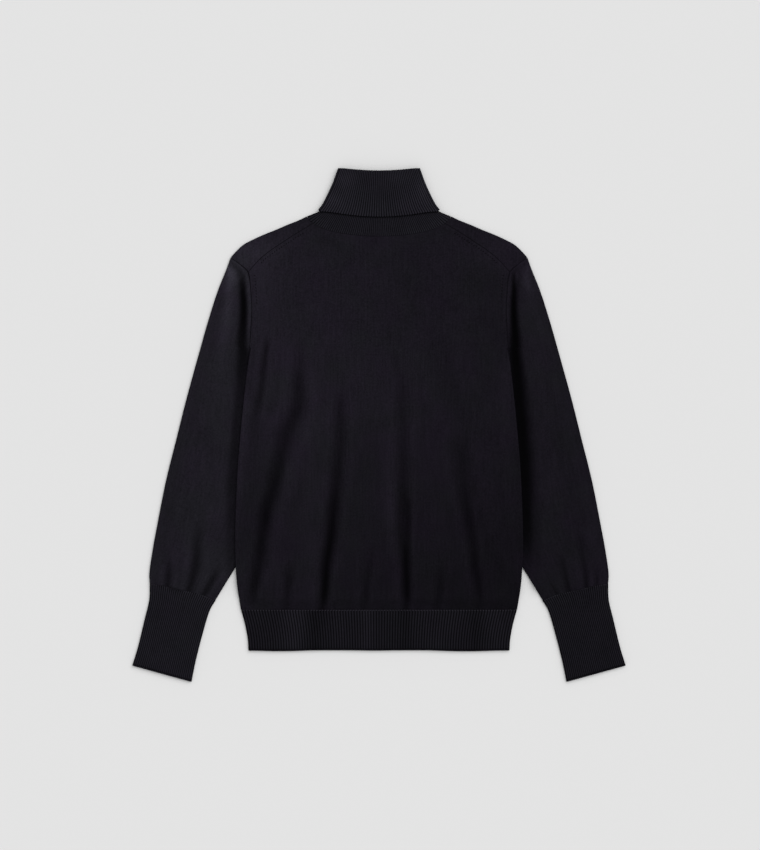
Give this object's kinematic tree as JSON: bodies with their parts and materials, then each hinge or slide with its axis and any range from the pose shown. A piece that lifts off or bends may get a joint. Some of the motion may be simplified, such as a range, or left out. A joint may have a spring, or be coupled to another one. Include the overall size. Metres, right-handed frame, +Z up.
{
  "type": "turtleneck sweater",
  "caption": "Fine-gauge knitted sweater with long sleeves and a folded roll neck, laid flat with its back up, ribbed at hem, cuffs and collar.",
  "frame": {"origin": "on the centre back line, in the middle of the garment's footprint on the surface that it lies on", "axes": "+Y runs from the hem to the collar, +Z is up from the surface towards the back of the garment, +X points across the garment at its back, to the right as seen from above"},
  "size_m": [0.741, 0.7712, 0.0105],
  "materials": {
    "jersey_knit": "near-black fine plain knit, matt with a faint nap",
    "rib_knit": "near-black one by one rib, matt"
  },
  "bodies": {
    "root": {"front_panel": "jersey_knit", "back_panel": "jersey_knit", "sleeve_left": "jersey_knit", "sleeve_right": "jersey_knit", "cuff_left": "rib_knit", "cuff_right": "rib_knit", "hem_rib": "rib_knit", "collar_stand": "rib_knit", "collar_turnover": "rib_knit"}
  },
  "joints": []
}
